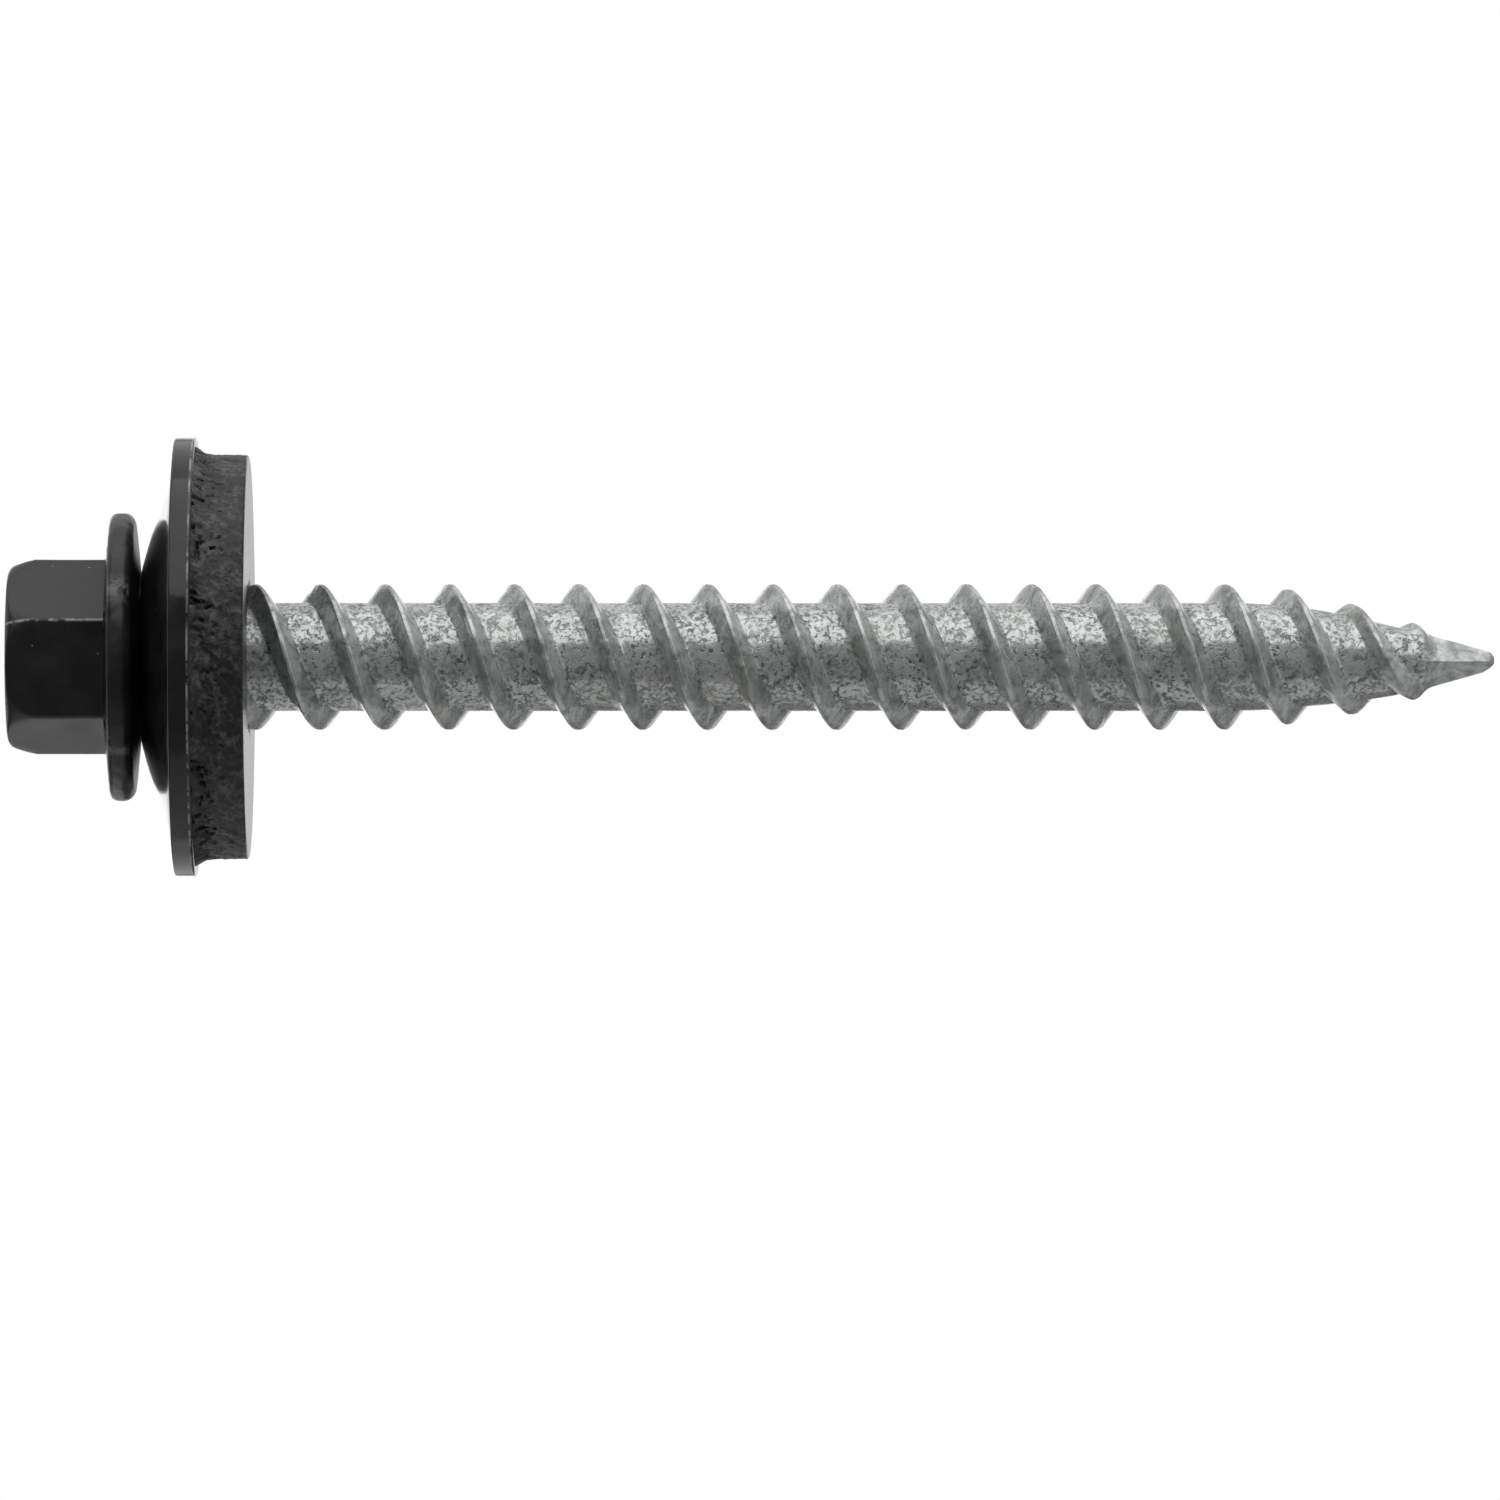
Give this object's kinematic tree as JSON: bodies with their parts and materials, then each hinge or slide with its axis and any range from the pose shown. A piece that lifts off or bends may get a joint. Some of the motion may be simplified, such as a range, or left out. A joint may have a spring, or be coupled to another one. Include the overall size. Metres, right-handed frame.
{
  "type": "wood screw with sealing washer",
  "caption": "Timber screw for fixing sheet metal: painted hexagon washer head, zinc-plated twin-start thread, pinched point and a loose bonded washer of domed steel with a rubber seal under it.",
  "frame": {"origin": "centre of the rubber seal's lower face, on the screw's axis", "axes": "+Z along the screw's axis from the point to the head"},
  "size_m": [0.0164, 0.0162, 0.0551],
  "materials": {
    "zinc_steel": "mechanically plated zinc, dull mottled grey, on rolled steel",
    "black_paint": "semi-gloss black paint",
    "seal_rubber": "matt moulded EPDM rubber with a torn, pitted edge"
  },
  "bodies": {
    "screw": {"screw": "zinc_steel"},
    "sealing_washer": {"metal_washer": "black_paint", "rubber_seal": "seal_rubber"}
  },
  "joints": [
    {"name": "washer_spin", "type": "hinge", "parent": "screw", "child": "sealing_washer", "pos_m": [0, 0, 0], "axis": [0, 0, 1], "continuous": true}
  ]
}
